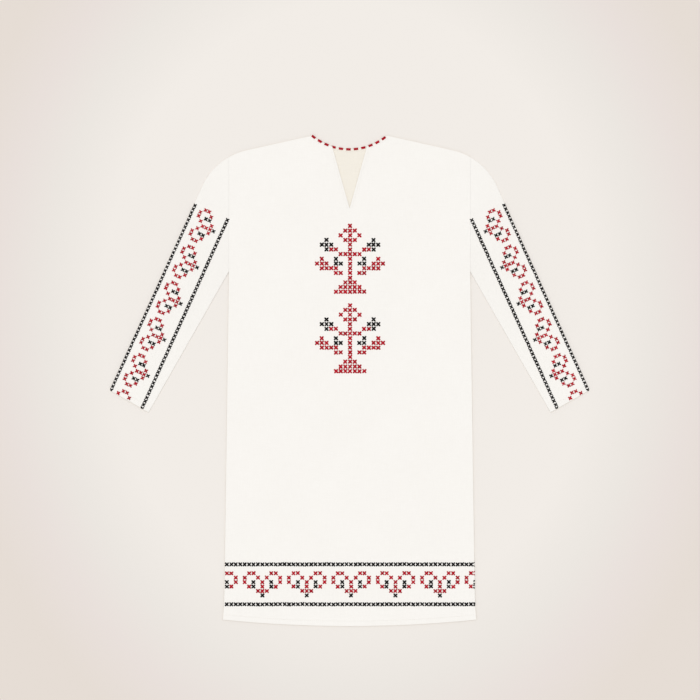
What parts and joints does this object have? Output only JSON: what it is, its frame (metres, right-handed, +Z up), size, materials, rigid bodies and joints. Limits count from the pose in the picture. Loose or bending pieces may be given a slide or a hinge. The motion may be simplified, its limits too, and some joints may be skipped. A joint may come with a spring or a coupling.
{
  "type": "vyshyvanka shirt",
  "caption": "Long-sleeved embroidered linen folk tunic with a slit neck, laid flat and face up, its front panel on its back panel.",
  "frame": {"origin": "centre of the shirt's outline, on the surface it lies on", "axes": "+X toward the wearer's left sleeve, +Y toward the neck, +Z up out of the front"},
  "size_m": [1.0266, 1.05, 0.0045],
  "materials": {
    "linen": "matte",
    "red_thread": "matte",
    "black_thread": "matte"
  },
  "bodies": {
    "root": {"front": "linen", "back": "linen", "sleeve_left": "linen", "sleeve_right": "linen"}
  },
  "joints": []
}
